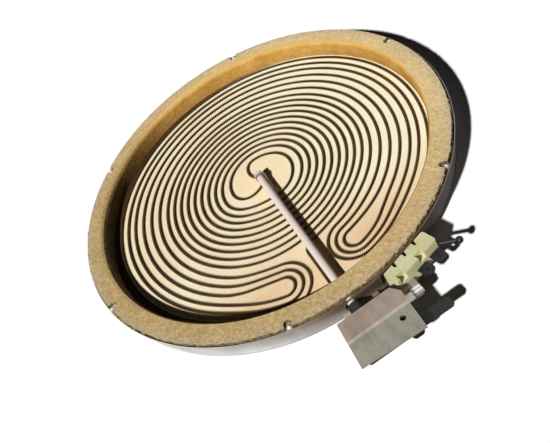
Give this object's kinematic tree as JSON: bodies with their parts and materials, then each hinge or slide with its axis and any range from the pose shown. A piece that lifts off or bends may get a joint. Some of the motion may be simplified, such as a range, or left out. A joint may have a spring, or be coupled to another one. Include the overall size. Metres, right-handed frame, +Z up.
{
  "type": "radiant surface element",
  "caption": "Round radiant hob element: sheet dish with insulation board and ring, spiral heating ribbon, rod limiter across it, and limiter head with terminal block outside",
  "frame": {"origin": "centre of the dish's underside, where the element rests", "axes": "+Z up through the open side, +Y from the centre towards the limiter head, +X to the right of it seen from above"},
  "size_m": [0.2312, 0.2686, 0.023],
  "materials": {
    "dish_sheet": "pressed sheet, faintly brushed",
    "base_insulation": "pressed microporous board, matt cream",
    "ring_insulation": "pressed vermiculite, golden tan with fine flakes",
    "ribbon_alloy": "oxidised resistance strip, dark olive brown",
    "tube_ceramic": "smooth pale ceramic tube",
    "rod_metal": "drawn rod",
    "cap_metal": "bright turned end piece",
    "collar_metal": "dark turned collar",
    "foot_metal": "thin bright sheet",
    "bracket_sheet": "folded sheet",
    "body_steatite": "dark unglazed ceramic",
    "cover_sheet": "plain grey sheet",
    "blade_metal": "spring strip",
    "contact_metal": "plain strip with button",
    "feed_tab_metal": "darkened tab",
    "bridge_tab_metal": "plated tab",
    "earth_tab_metal": "plated tab",
    "inner_lead_metal": "oxidised strip",
    "outer_lead_metal": "oxidised strip",
    "block_steatite": "unglazed cream steatite",
    "block_tab_metal": "darkened tabs",
    "block_bracket_sheet": "folded sheet",
    "link_strap_metal": "plated strap, crimped at one end",
    "stub_metal": "darkened wire end"
  },
  "bodies": {
    "root": {"dish": "dish_sheet", "base_board": "base_insulation", "insulation_ring": "ring_insulation", "heating_ribbon": "ribbon_alloy", "limiter_tube": "tube_ceramic", "limiter_rod": "rod_metal", "rod_end_cap": "cap_metal", "tube_collar": "collar_metal", "tube_foot": "foot_metal", "limiter_bracket": "bracket_sheet", "limiter_body": "body_steatite", "limiter_cover": "cover_sheet", "switch_blade": "blade_metal", "fixed_contact": "contact_metal", "feed_tab": "feed_tab_metal", "bridge_tab": "bridge_tab_metal", "earth_tab": "earth_tab_metal", "inner_lead": "inner_lead_metal", "outer_lead": "outer_lead_metal", "terminal_block": "block_steatite", "block_tabs": "block_tab_metal", "block_bracket": "block_bracket_sheet", "link_strap": "link_strap_metal", "wire_stub": "stub_metal"}
  },
  "joints": []
}
